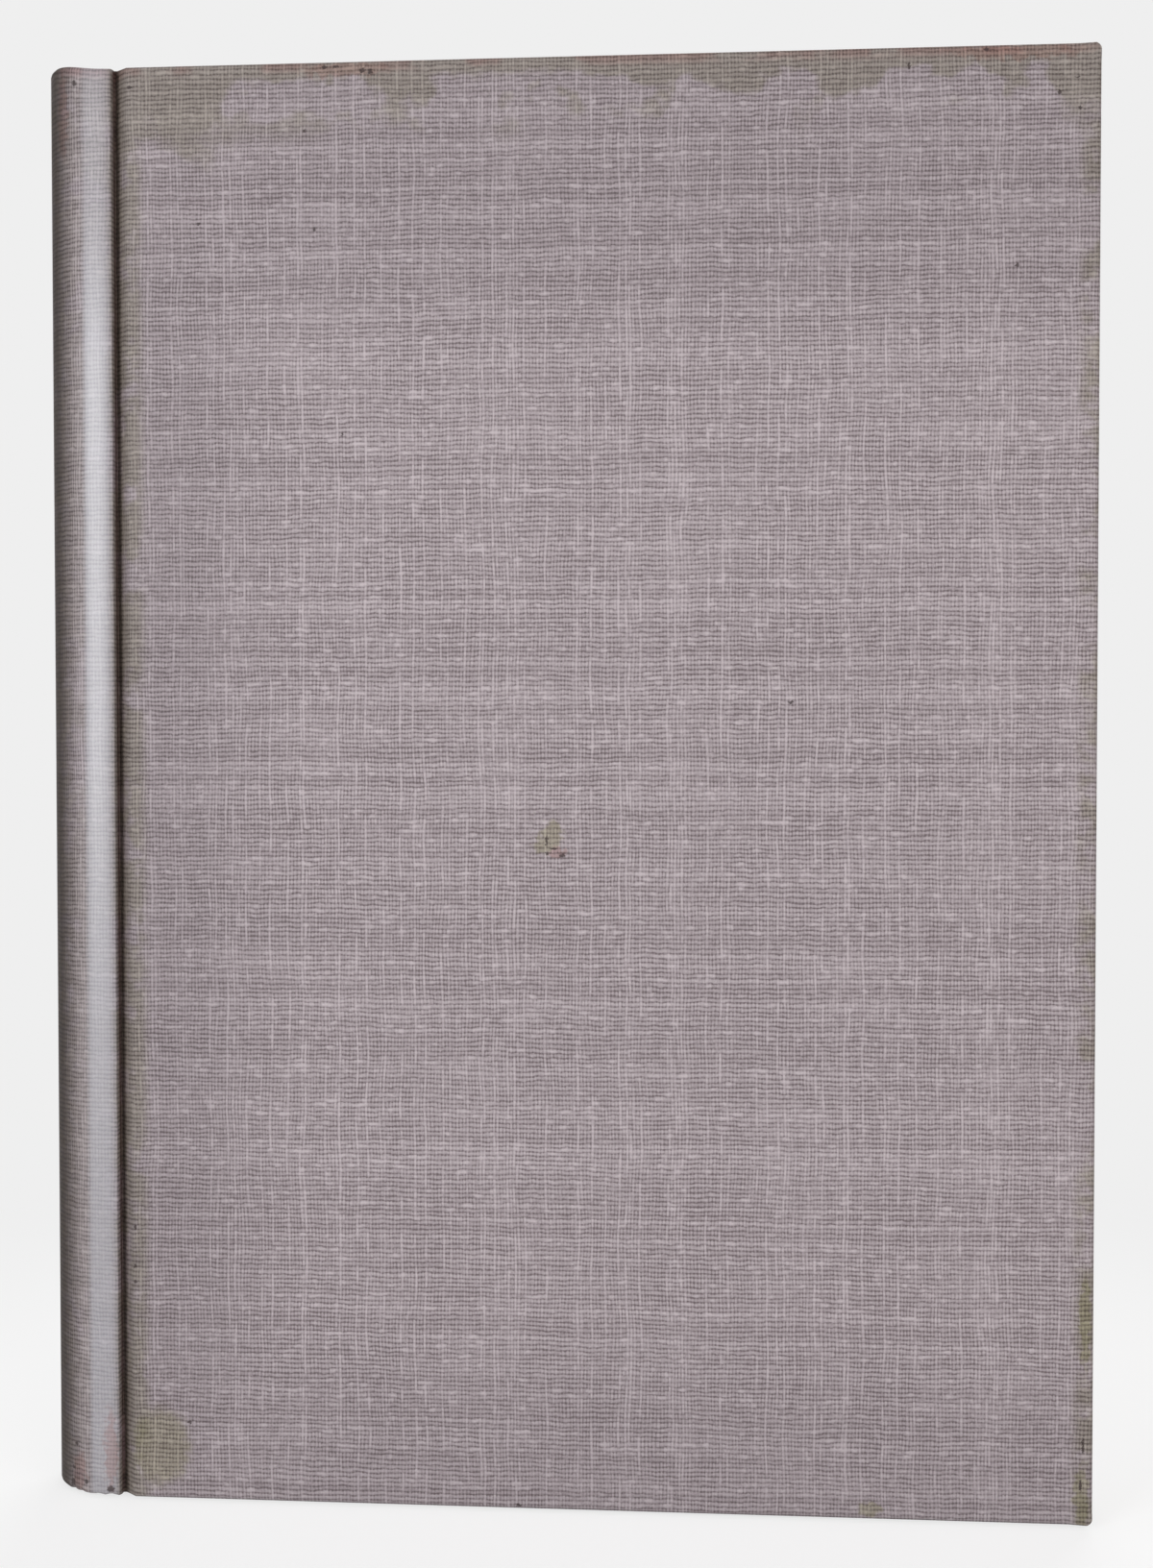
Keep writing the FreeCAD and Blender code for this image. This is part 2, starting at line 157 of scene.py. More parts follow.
def along_section(x, level):
    """How far across the unfolded cloth a place of the outer face lies. On the board it is X itself."""
    if x >= slope_top:
        return x
    corners = [
        (slope_top, cover_level),
        (slope_foot, groove_floor),
        (ridge_side, groove_floor),
        (ridge_side, barrel_radius - ridge_round),
        (ridge_flat_end, barrel_radius),
        (barrel_middle, barrel_radius),
    ]
    place = Vector((x, level))
    found, best, length = 0.0, math.inf, 0.0
    for start, end in zip(corners, corners[1:]):
        start, end = Vector(start), Vector(end)
        run = (end - start).length
        share = min(max((place - start).dot(end - start) / run**2, 0.0), 1.0)
        gap = (place - start.lerp(end, share)).length
        if gap < best - 1e-7:
            found, best = length + share * run, gap
        length += run
    return slope_top - found


spine_edge_along = along_section(barrel_middle, barrel_radius)
spine_middle_along = spine_edge_along - barrel_radius * math.pi / 2


def lay_cloth(piece, place_of):
    """Give each face corner its place on the unfolded cloth, in metres."""
    mesh = piece.data
    mesh.uv_layers.new(name="cloth")
    places = mesh.uv_layers["cloth"].data
    for face in mesh.polygons:
        for loop in face.loop_indices:
            corner = mesh.vertices[mesh.loops[loop].vertex_index].co
            places[loop].uv = place_of(corner, face)


end_round = (barrel_radius - turn_in_radius) / 2
end_level = -(barrel_radius + turn_in_radius) / 2
end_steps = 6
straight_steps = 36
quarter_steps = 28
straight_length = book_height - 2 * end_round

spine_cover = start_from_point("spine_cover", (barrel_middle, -turn_in_radius, spine_turn_in))
draw_by(z=end_round - spine_turn_in)
draw_round(math.pi, (barrel_middle, end_level, end_round), (1, 0, 0), end_steps)
for _ in range(straight_steps):
    draw_by(z=straight_length / straight_steps)
draw_round(math.pi, (barrel_middle, end_level, book_height - end_round), (1, 0, 0), end_steps)
draw_by(z=end_round - spine_turn_in)
bpy.ops.mesh.select_all(action="SELECT")
bpy.ops.mesh.remove_doubles(threshold=1e-6)
bpy.ops.mesh.select_all(action="SELECT")
draw_round(math.pi / 2, (barrel_middle, 0, 0), (0, 0, 1), quarter_steps)
pick(spine_cover, "EDGE", lambda middle, ends: all(abs(end.x - barrel_middle) < 1e-6 for end in ends))
round_steps = [
    (
        ridge_flat_end + ridge_round * math.sin(turn),
        barrel_radius - ridge_round * (1 - math.cos(turn)),
        turn_in_radius - inner_drop - inner_fall * turn,
    )
    for turn in (0.0, math.pi / 8, math.pi / 4, math.pi * 3 / 8, math.pi / 2)
]
carry_section(
    (barrel_middle, barrel_radius, turn_in_radius),
    round_steps + [(ridge_side, split_level, split_inner)],
)
bpy.ops.object.mode_set(mode="OBJECT")
halves = spine_cover.modifiers.new("both sides", "MIRROR")
halves.use_axis = (False, True, False)
halves.merge_threshold = 1e-6
finish_modifiers(spine_cover)
bpy.ops.object.mode_set(mode="EDIT")
bpy.ops.mesh.select_all(action="SELECT")
bpy.ops.mesh.remove_doubles(threshold=1e-6)
bpy.ops.mesh.normals_make_consistent(inside=False)
bpy.ops.object.mode_set(mode="OBJECT")


def spine_cloth_place(corner, face):
    """The place of a point of the spine's cloth on the unfolded cloth."""
    level = abs(corner.y)
    if corner.x < barrel_middle:
        turn = math.atan2(barrel_middle - corner.x, level)
        along = spine_edge_along - barrel_radius * turn
        depth = barrel_radius - math.hypot(barrel_middle - corner.x, level)
    else:
        along = along_section(corner.x, max(level, split_level))
        on_turn_in = level < turn_in_radius + 1e-5 and corner.x < ridge_side - 1e-5
        depth = barrel_radius - level if on_turn_in else 0.0
    if corner.y > 0:
        along = 2 * spine_middle_along - along
    up = corner.z
    if depth > turned_in_from and corner.z > book_height / 2:
        up = 2 * book_height - corner.z
    elif depth > turned_in_from:
        up = -corner.z
    return along, up


lay_cloth(spine_cover, spine_cloth_place)

# Pulled over its end, the cloth stands higher round the back than at the ridges. At the tail it is
# worn into small nicks on the front side.
cap_rise = 0.0012
cap_reach = 0.010
cap_turn = math.radians(52)
worn_reach = 0.0016
nicks = ((39.0, 2.6, 0.00032), (30.0, 2.5, 0.00018), (12.0, 4.0, 0.00020), (1.5, 2.6, 0.00034))


def ease(share):
    """From 0 to 1 with soft ends, and level outside them."""
    share = min(max(share, 0.0), 1.0)
    return share * share * (3 - 2 * share)


for vertex in spine_cover.data.vertices:
    spot = vertex.co
    turn = math.atan2(barrel_middle - spot.x, abs(spot.y))
    rise = cap_rise * ease(turn / cap_turn) * ease((spot.z - book_height + cap_reach) / cap_reach)
    if spot.y < 0:
        for nick_turn, nick_width, nick_depth in nicks:
            away = (math.degrees(turn) - nick_turn) / nick_width
            rise += nick_depth * math.exp(-away * away) * ease(1 - spot.z / worn_reach)
    spot.z += rise

thicken(spine_cover, cloth_thickness)
bpy.ops.object.shade_smooth_by_angle(angle=edge_smoothing)
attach(spine_cover, "book_block")
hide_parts("spine_cloth")


# Covering cloth on the boards
# On each board the cloth lies flat on the outside, is turned over its three free edges and glued down
# inside for 15 mm. Towards the spine it dips into the groove where the cover bends.
turn_in_level = 0.0077
fore_edge = round(front_high.x, 4)
turn_in_fore = 0.0636
turn_in_tail = 0.0154
turn_in_head = book_height - turn_in_tail
grid_step = 0.006
turn_in_steps = (0.006, 0.012)
corner_round = 0.0012
outer_round = 0.0007
inner_round = 0.0004
crease_round = 0.00009
slope_round = 0.0005
edge_band = 0.002

bpy.ops.object.select_all(action="DESELECT")
cover_size = (fore_edge - slope_top, cover_level - turn_in_level, book_height)
cover_middle = ((fore_edge + slope_top) / 2, -(cover_level + turn_in_level) / 2, book_height / 2)
bpy.ops.mesh.primitive_cube_add(size=1, location=cover_middle)
front_cover = bpy.context.object
front_cover.name = "front_cover_cloth"
front_cover.scale = cover_size
bpy.ops.object.transform_apply(location=True, rotation=True, scale=True)
bpy.ops.object.mode_set(mode="EDIT")


def cut_across(places, direction):
    """Cut the whole open mesh by a plane at each place."""
    for place in places:
        bpy.ops.mesh.select_all(action="SELECT")
        spot = [place if part else 0 for part in direction]
        bpy.ops.mesh.bisect(plane_co=spot, plane_no=direction)


pick(front_cover, "FACE", lambda middle, corners: middle.x < slope_top + 1e-6)
bpy.ops.mesh.delete(type="FACE")
cut_across([turn_in_fore], (1, 0, 0))
cut_across([turn_in_tail, turn_in_head], (0, 0, 1))


def bare_board(middle, corners):
    """The part of the inner face that the turned-in cloth leaves free."""
    return (
        middle.y > -turn_in_level - 1e-6
        and middle.x < turn_in_fore
        and turn_in_tail < middle.z < turn_in_head
    )


pick(front_cover, "FACE", bare_board)
bpy.ops.mesh.delete(type="FACE")
columns = int((turn_in_fore - slope_top) / grid_step)
rows = int((turn_in_head - turn_in_tail) / grid_step)
cut_across([slope_top + (turn_in_fore - slope_top) * i / columns for i in range(1, columns)], (1, 0, 0))
cut_across([turn_in_tail + (turn_in_head - turn_in_tail) * i / rows for i in range(1, rows)], (0, 0, 1))
cut_across([turn_in_fore + step for step in turn_in_steps], (1, 0, 0))
cut_across([turn_in_tail - step for step in turn_in_steps], (0, 0, 1))
cut_across([turn_in_head + step for step in turn_in_steps], (0, 0, 1))


def on_rim(spot):
    """Whether a point is on one of the three free edges of the cover."""
    return spot.z < 1e-6 or spot.z > book_height - 1e-6 or spot.x > fore_edge - 1e-6


def outer_rim(middle, ends):
    return middle.y < -cover_level + 1e-6 and on_rim(middle)


def inner_rim(middle, ends):
    return middle.y > -turn_in_level - 1e-6 and on_rim(middle)


def board_corner(middle, ends):
    return middle.x > fore_edge - 1e-6 and all(
        end.z < 1e-6 or end.z > book_height - 1e-6 for end in ends
    )


pick(front_cover, "EDGE", board_corner)
bpy.ops.mesh.bevel(offset=corner_round, segments=4, affect="EDGES")
pick(front_cover, "EDGE", outer_rim)
bpy.ops.mesh.bevel(offset=outer_round, segments=3, affect="EDGES", clamp_overlap=False)
pick(front_cover, "EDGE", inner_rim)
bpy.ops.mesh.bevel(offset=inner_round, segments=2, affect="EDGES", clamp_overlap=False)
pick(front_cover, "EDGE", lambda middle, ends: all(abs(end.x - slope_top) < 1e-6 for end in ends))
carry_section(
    (slope_top, cover_level, turn_in_level),
    [
        (slope_foot, groove_floor, turn_in_level),
        (ridge_side, groove_floor, turn_in_level + 0.0001),
        (ridge_side - wall_lean, split_level, split_inner),
    ],
)


def soften_crease(x, level, radius, segments):
    """Round the crease that runs up the cover at one place of its section."""
    crease = Vector((x, -level))

    def on_crease(middle, ends):
        return all((Vector((end.x, end.y)) - crease).length < 1e-5 for end in ends)

    pick(front_cover, "EDGE", on_crease)
    bpy.ops.mesh.bevel(offset=radius, segments=segments, affect="EDGES", clamp_overlap=False)


soften_crease(slope_top, cover_level, slope_round, 5)
soften_crease(slope_foot, groove_floor, crease_round, 2)
soften_crease(ridge_side, groove_floor, crease_round, 2)
bpy.ops.mesh.select_all(action="SELECT")
bpy.ops.mesh.normals_make_consistent(inside=False)
bpy.ops.object.mode_set(mode="OBJECT")


def cover_cloth_place(corner, face):
    """The place of a point of a board's cloth on the unfolded cloth."""
    edge_depth = cover_level - turn_in_level
    on_lower_half = corner.z < book_height / 2
    level = abs(corner.y)
    inside = level < turn_in_level + 1e-4 and (corner.x > slope_foot or abs(face.normal.y) < 0.5)
    along = along_section(corner.x, level)
    up = corner.z
    near_fore = face.center.x > turn_in_fore
    near_end = min(corner.z, book_height - corner.z) < turn_in_tail + 1e-5
    if inside and near_fore and not (near_end and abs(face.normal.z) > 0.5):
        along = 2 * fore_edge + edge_depth - corner.x
    elif corner.x > fore_edge - edge_band:
        along = corner.x + cover_level - level
    if inside and near_end and on_lower_half:
        up = -edge_depth - corner.z
    elif inside and near_end:
        up = 2 * book_height + edge_depth - corner.z
    elif corner.z < edge_band and corner.x > slope_top:
        up = corner.z - (cover_level - level)
    elif corner.z > book_height - edge_band and corner.x > slope_top:
        up = corner.z + (cover_level - level)
    return along, up


lay_cloth(front_cover, cover_cloth_place)
thicken(front_cover, cloth_thickness)
bpy.ops.object.shade_smooth_by_angle(angle=edge_smoothing)


def back_copy(piece, name):
    """A copy of a front piece for the back of the book, turned over across the middle of the leaves."""
    bpy.ops.object.select_all(action="DESELECT")
    piece.select_set(True)
    bpy.context.view_layer.objects.active = piece
    bpy.ops.object.duplicate()
    copy = bpy.context.object
    copy.name = name
    bpy.ops.object.mode_set(mode="EDIT")
    bpy.ops.mesh.select_all(action="SELECT")
    bpy.ops.transform.mirror(constraint_axis=(False, True, False), center_override=(0, 0, 0))
    bpy.ops.mesh.flip_normals()
    bpy.ops.object.mode_set(mode="OBJECT")
    return copy


back_cover = back_copy(front_cover, "back_cover_cloth")
for place in back_cover.data.uv_layers["cloth"].data:
    place.uv.x = 2 * spine_middle_along - place.uv.x
for piece, side in ((front_cover, "front"), (back_cover, "back")):
    side + "_cover"
    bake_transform(piece)
    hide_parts(side + "_cloth")


# Finish of the book cloth
# A plain weave of uneven grey-mauve threads, calendered and dyed, with the wefts lying across the
# book. It is toned olive along the head and in the joints, and it carries small stains and specks.
class Wire:
    """A socket of a material's node tree, on which ordinary arithmetic adds Math nodes."""

    def __init__(self, socket):
        self.socket = socket
        self.tree = socket.node.id_data

    def node(self, kind, settings=None, inputs=None, output=0):
        """Add any node: its kind, its settings, which are set first, and what goes into its sockets."""
        made = self.tree.nodes.new("ShaderNode" + kind)
        for name, value in (settings or {}).items():
            setattr(made, name, value)
        for name, value in (inputs or {}).items():
            if isinstance(value, Wire):
                self.tree.links.new(value.socket, made.inputs[name])
            else:
                made.inputs[name].default_value = value
        return Wire(made.outputs[output])

    def maths(self, operation, *values):
        return self.node("Math", {"operation": operation}, dict(enumerate(values)))

    def __add__(self, other):
        return self.maths("ADD", self, other)

    def __radd__(self, other):
        return self.maths("ADD", other, self)

    def __sub__(self, other):
        return self.maths("SUBTRACT", self, other)

    def __rsub__(self, other):
        return self.maths("SUBTRACT", other, self)

    def __mul__(self, other):
        return self.maths("MULTIPLY", self, other)

    def __rmul__(self, other):
        return self.maths("MULTIPLY", other, self)

    def __truediv__(self, other):
        return self.maths("DIVIDE", self, other)


def new_material(name, roughness, specular):
    """A material with its Principled shader, and the node to start expressions from."""
    material = bpy.data.materials.new(name)
    material.use_nodes = True
    shader = material.node_tree.nodes["Principled BSDF"]
    shader.inputs["Roughness"].default_value = roughness
    shader.inputs["Specular IOR Level"].default_value = specular
    return material, shader, Wire(shader.outputs[0])


def connect(value, shader, name):
    """Link a wire to a socket of a shader."""
    value.tree.links.new(value.socket, shader.inputs[name])


def cover_in(piece, material):
    """Give a whole piece one material."""
    piece.data.materials.clear()
    piece.data.materials.append(material)


def smooth(value, low, high):
    """From 0 at low to 1 at high, with soft ends."""
    return value.node(
        "MapRange",
        {"interpolation_type": "SMOOTHSTEP"},
        {"Value": value, "From Min": low, "From Max": high},
    )


def at(x, y, z=0.0):
    """A vector from three values, the first of which is a wire."""
    return x.node("CombineXYZ", {}, {"X": x, "Y": y, "Z": z})


def grain(place, scale, detail=2.0, roughness=0.5):
    """Soft noise from 0 to 1 at a place given as a vector."""
    return place.node(
        "TexNoise",
        {"noise_dimensions": "3D"},
        {"Vector": place, "Scale": scale, "Detail": detail, "Roughness": roughness},
    )


def chance(number):
    """A fixed random value from 0 to 1 for each whole number."""
    return number.node("TexWhiteNoise", {"noise_dimensions": "1D"}, {"W": number})


def tint(colour, other, mask, blend_type="MIX"):
    """One colour over another by a mask. A colour is four numbers or a wire."""
    return mask.node(
        "Mix",
        {"data_type": "RGBA", "blend_type": blend_type},
        {0: mask, 6: colour, 7: other},
        2,
    )


def relief(height, strength, distance):
    """A normal that shows a fine height without a change to the shape."""
    return height.node("Bump", {}, {"Height": height, "Strength": strength, "Distance": distance})


cloth, cloth_shader, start = new_material("book cloth", 0.55, 0.25)
cloth_shader.inputs["Coat Roughness"].default_value = 0.28
sheet = start.node("UVMap", {"uv_map": "cloth"})
across = start.node("SeparateXYZ", {}, {"Vector": sheet}, 0) * 1000
upward = start.node("SeparateXYZ", {}, {"Vector": sheet}, 1) * 1000
flat = at(across, upward)

# The threads: how far each place is from the middle of its weft and its warp, and the gaps between.
weft_pitch = 0.71
warp_pitch = 0.52
drift = grain(at(across / 16, upward / 9), 1.0, 1.0)
small_drift = grain(at(across / 2.0, upward / 2.0, 7.0), 1.0, 1.0) * 0.48
weft = (upward + drift + small_drift) / weft_pitch
warp = (across + grain(at(across / 11, upward / 16, 3.0), 1.0, 1.0) * 1.2) / warp_pitch
warp = warp + grain(at(across / 1.6, upward / 9, 13.0), 1.0, 1.0) * 0.7
weft_number = weft.maths("FLOOR", weft)
warp_number = warp.maths("FLOOR", warp)
weft_edge = 0.5 - weft.maths("ABSOLUTE", weft.maths("FRACT", weft) - 0.5)
warp_edge = 0.5 - warp.maths("ABSOLUTE", warp.maths("FRACT", warp) - 0.5)
weft_chance = chance(weft_number)
warp_chance = chance(warp_number + 811.0)
fuzz = grain(flat, 3.4, 2.0)

crossing = chance(weft_number * 37.0 + warp_number * 1.7)
patches = smooth(grain(flat, 0.07, 2.0), 0.36, 0.62)
grid_patches = smooth(grain(at(across, upward, 90.0), 0.085, 1.0), 0.36, 0.60)
pale_warp = smooth(warp_chance, 0.40, 1.0) * smooth(
    grain(at(warp_number * 3.7, upward / 4.5, 11.0), 1.0, 2.0), 0.38, 0.58
)
slub = smooth(grain(at(across / 2.2, weft_number * 4.1, 21.0), 1.0, 1.0), 0.58, 0.70)
weft_dash = smooth(grain(at(across / 0.9, weft_number * 7.3, 1.0), 1.0, 2.0), 0.34, 0.56)
warp_dash = smooth(crossing, 0.25, 0.80)
weft_ridge = smooth(weft_edge, 0.14, 0.40)
warp_ridge = smooth(warp_edge, 0.16, 0.40)
dark_weft = (1 - smooth(weft_edge, 0.05, 0.33)) * (0.35 + 0.65 * weft_dash) * (1 - 0.35 * warp_ridge)
dark_weft = dark_weft * (0.7 + 0.3 * patches) * (1 - 0.7 * pale_warp) * (1 - 0.5 * slub)
dark_warp = (1 - smooth(warp_edge, 0.05, 0.34)) * (0.25 + 0.75 * warp_dash)
dark_warp = dark_warp * (0.7 + 0.3 * grid_patches) * (1 - 0.7 * slub)
thread_tone = grain(at(across / 1.6, weft_number * 2.9, 31.0), 1.0, 2.0)
light = (
    0.60
    + 0.46 * (thread_tone - 0.5)
    + 0.18 * (weft_chance - 0.5)
    + 0.16 * (crossing - 0.5)
    + 0.66 * (fuzz - 0.5)
    + 0.12 * weft_ridge
    + 0.26 * pale_warp * warp_ridge
    + 0.20 * slub * weft_ridge
    - 0.57 * dark_weft
    - 0.39 * dark_warp
)
dark_thread = (0.150, 0.118, 0.125, 1.0)
light_thread = (0.545, 0.478, 0.50, 1.0)
weave_colour = tint(dark_thread, light_thread, light)

# Toning, painted shade and a painted highlight, in millimetres on the unfolded cloth. The darker edges,
# the dirt and painted shade in the groove, the painted shadow on its slope and the painted shade on the
# side of the spine are the same at the back, so they are counted outward from the middle of the spine.
# The olive toning, the red edge, the painted highlight on the spine and the polish end at its middle.
spine_middle = spine_middle_along * 1000
head_line = book_height * 1000
outward = across.maths("MAXIMUM", across, 2 * spine_middle - across)
on_front = smooth(across, spine_middle - 5.0, spine_middle + 5.0)
blotch = grain(flat, 0.11, 3.0)
small_blotch = grain(at(across, upward, 40.0), 0.45, 2.0)
head_depth = 1.5 + 9.0 * smooth(blotch, 0.42, 0.66)
head_depth = head_depth + 8.0 * (1 - smooth(outward, -56.0, -46.0)) + 6.5 * smooth(outward, 70.5, 74.5)
on_barrel = 1 - smooth(outward, -71.2, -69.8)
head_reach = (head_line - upward) / (head_depth + 2.5 * small_blotch)
head_toning = (1 - smooth(head_reach, 0.55, 1.15)) * (1 - 0.85 * on_barrel)
mottle = blotch + 0.4 * small_blotch
joint_toning = (1 - smooth(outward, -63.6, -61.4)) * (1 - 0.6 * on_barrel)
joint_toning = joint_toning * smooth(mottle, 0.54, 0.72)
fore_toning = smooth(outward, 75.2, 77.5) * smooth(mottle, 0.62, 0.80)
olive = (0.77, 0.785, 0.66, 1.0)
side_toning = joint_toning.maths("MAXIMUM", joint_toning, fore_toning)
toning = head_toning.maths("MAXIMUM", head_toning, side_toning) * on_front
weave_colour = tint(weave_colour, olive, toning * 0.9, "MULTIPLY")
red_edge = smooth(upward, head_line - 2.2, head_line - 0.6) * smooth(blotch, 0.44, 0.56)
weave_colour = tint(weave_colour, (0.92, 0.76, 0.76, 1.0), red_edge * on_front, "MULTIPLY")

# The cloth is made a little darker near the spine and towards the head and the tail.
darker_ends = 0.85 * smooth(upward.maths("ABSOLUTE", upward - 98.0), 66.0, 97.0)
darker_edges = outward.maths("MAXIMUM", 1 - smooth(outward, -60.0, -34.0), darker_ends)
weave_colour = tint(weave_colour, (0.82, 0.815, 0.82, 1.0), darker_edges, "MULTIPLY")
# Dirt and painted shade darken the wall and the floor of the groove.
groove_dirt_and_shade = smooth(outward, -69.4, -68.7) * (1 - smooth(outward, -68.25, -67.6))
weave_colour = tint(weave_colour, (0.74, 0.63, 0.65, 1.0), groove_dirt_and_shade, "MULTIPLY")
# Painted shadow of the spine's ridge darkens the groove's slope, fading out towards the board.
slope_painted_shadow = smooth(outward, -69.4, -68.6) * (1 - smooth(outward, -67.8, -63.8))
weave_colour = tint(weave_colour, (0.52, 0.48, 0.43, 1.0), slope_painted_shadow, "MULTIPLY")

# The angle round the spine, counted from its front edge to its middle, and back to 0 at its back edge.
spine_edge = spine_edge_along * 1000
spine_radius = barrel_radius * 1000
turned = (spine_edge - across) / spine_radius
turned = math.pi / 2 - turned.maths("ABSOLUTE", turned - math.pi / 2)
# Painted shade darkens and browns the round of the spine, most strongly part way round its side.
spine_side_painted_shade = smooth(turned, 0.36, 0.97) * (1 - 0.62 * smooth(turned, 1.05, 1.5))
weave_colour = tint(weave_colour, (0.17, 0.15, 0.135, 1.0), spine_side_painted_shade, "MULTIPLY")
# A painted highlight: a pale bluish band just behind the front edge of the spine, weaker near the head.
spine_painted_highlight = smooth(turned, -0.18, 0.03) * (1 - smooth(turned, 0.25, 0.38)) * on_front
spine_painted_highlight = spine_painted_highlight * (1 - 0.5 * smooth(upward, 176.0, 206.0))
weave_colour = tint(weave_colour, (0.465, 0.462, 0.50, 1.0), spine_painted_highlight * 0.55)
# A mottled, browner patch over the same painted shade on the spine's side.
spine_side_shade_mottle = spine_side_painted_shade * smooth(small_blotch, 0.35, 0.6)
weave_colour = tint(weave_colour, (0.94, 0.92, 0.84, 1.0), spine_side_shade_mottle, "MULTIPLY")


# Marks: one olive stain in the middle, a few paler ones, and dark specks, all in millimetres on the
# unfolded cloth. Their outlines are ragged.
def away_from(place, marks):
    """How far a place is from the nearest of some marks, where 1 is the mark's own edge."""
    nearest = None
    for x, z, reach_x, reach_z in marks:
        off = place.node(
            "VectorMath",
            {"operation": "MULTIPLY_ADD"},
            {0: place, 1: (1 / reach_x, 1 / reach_z, 0), 2: (-x / reach_x, -z / reach_z, 0)},
        )
        away = off.node("VectorMath", {"operation": "LENGTH"}, {0: off}, 1)
        nearest = away if nearest is None else nearest.maths("MINIMUM", nearest, away)
    return nearest


def ragged_place(amount, scale, seed):
    """The place on the cloth, shifted a little to and fro."""
    shift_x = grain(at(across, upward, seed), scale, 2.0) - 0.5
    shift_z = grain(at(across, upward, seed + 5.0), scale, 2.0) - 0.5
    return at(across + shift_x * amount, upward + shift_z * amount)


def on_spine(turn):
    """How far across the cloth a place on the round of the spine is, by its turn from the front."""
    return spine_edge - spine_radius * math.radians(turn)


coarse_place = ragged_place(3.0, 0.9, 60.0)
fine_place = ragged_place(0.9, 3.0, 80.0)
olive_stains = (
    (-0.6, 101.4, 1.6, 2.2),
    (-1.9, 100.0, 1.5, 1.6),
    (46.5, 1.5, 1.9, 1.1),
    (-60.5, 8.0, 4.6, 6.0),
    (77.4, 4.5, 1.1, 5.0),
    (77.8, 30.0, 0.8, 7.0),
)
pink_stains = (
    (0.2, 98.9, 1.3, 0.9),
    (-31.5, 214.8, 7.0, 1.2),
    (67.0, 214.9, 11.0, 1.1),
    (on_spine(31.0), 3.0, 1.6, 3.4),
    (on_spine(1.0), 7.0, 0.9, 7.0),
    (on_spine(40.0), 209.5, 1.4, 6.5),
)
specks = (
    (-1.4, 98.6, 0.34, 0.24),
    (0.9, 98.3, 0.46, 0.28),
    (-1.5, 100.4, 0.20, 0.8),
    (-0.3, 99.3, 0.5, 0.14),
    (-64.0, 212.9, 0.40, 0.28),
    (51.4, 213.2, 0.26, 0.50),
    (67.1, 184.2, 0.34, 0.24),
    (-32.0, 160.9, 0.26, 0.30),
    (-37.6, 205.8, 0.36, 0.24),
    (-36.1, 191.3, 0.24, 0.34),
    (-53.6, 192.4, 0.26, 0.26),
    (34.6, 121.0, 0.48, 0.24),
    (-56.0, 11.8, 0.32, 0.24),
    (-64.3, 41.5, 0.24, 0.40),
    (-64.3, 35.6, 0.28, 0.38),
    (-64.3, 33.1, 0.24, 0.34),
    (-5.7, 0.6, 0.44, 0.34),
    (-34.5, 215.1, 0.42, 0.36),
    (-32.8, 215.2, 0.44, 0.24),
    (-28.8, 214.5, 0.50, 0.40),
    (-27.6, 214.4, 0.36, 0.40),
    (62.5, 215.3, 0.44, 0.30),
    (75.6, 211.0, 0.30, 0.26),
    (75.9, 206.6, 0.26, 0.30),
    (73.0, 208.9, 0.24, 0.30),
    (77.5, 12.0, 0.20, 1.2),
    (77.2, 6.0, 0.24, 0.9),
    (on_spine(25.6), 213.6, 0.46, 0.46),
    (on_spine(33.9), 7.4, 0.40, 0.36),
    (on_spine(38.0), 3.6, 0.36, 0.34),
    (on_spine(39.0), 1.2, 0.60, 0.60),
    (on_spine(23.2), 1.9, 0.36, 0.34),
    (on_spine(1.0), 1.0, 0.60, 0.50),
)
olive_mark = 1 - smooth(away_from(coarse_place, olive_stains), 0.7, 1.2)
pink_mark = 1 - smooth(away_from(coarse_place, pink_stains), 0.6, 1.2)
speck_mark = 1 - smooth(away_from(fine_place, specks), 0.7, 1.2)
weave_colour = tint(weave_colour, (0.84, 0.86, 0.68, 1.0), olive_mark, "MULTIPLY")
weave_colour = tint(weave_colour, (0.93, 0.78, 0.75, 1.0), pink_mark, "MULTIPLY")
weave_colour = tint(weave_colour, (0.035, 0.022, 0.022, 1.0), speck_mark * 0.85)
connect(weave_colour, cloth_shader, "Base Color")
connect(0.48 + 0.2 * fuzz + 0.12 * toning + 0.2 * spine_side_painted_shade, cloth_shader, "Roughness")
polished = (1 - smooth(outward, -71.0, -70.0)) * (1 - smooth(turned, 0.30, 0.60)) * on_front
polished = polished * (0.3 + 0.7 * smooth(upward, 5.0, 70.0)) * (1 - 0.7 * smooth(upward, 165.0, 198.0))
connect(0.06 + 0.84 * polished, cloth_shader, "Coat Weight")
thread_height = (
    smooth(weft_edge, 0.0, 0.4) * (0.35 + 0.45 * weft_dash)
    + smooth(warp_edge, 0.0, 0.4) * (0.15 + 0.3 * warp_dash)
    + 0.3 * fuzz
    + 0.3 * slub
)
connect(relief(thread_height, 0.6, 0.0001), cloth_shader, "Normal")
for piece in (spine_cover, front_cover, back_cover):
    cover_in(piece, cloth)


# Endpapers
# A folded sheet of cream paper at each end of the leaves. One half is pasted down inside the board,
# over the turned-in cloth and the mull, and the other half stays as the first leaf.
paper_thickness = 0.00015
page_fore = 0.075
page_tail = 0.003
page_head = 0.213
mull_edge = -0.04235
paste_levels = {"cloth": 0.00770, "mull": 0.00785, "board": 0.00810}
step_run = 0.0006
paste_end_steps = ((-0.0012, 0.0), (-0.0010, -0.0001), (-0.0005, -0.0004), (-0.0003, -0.0005))

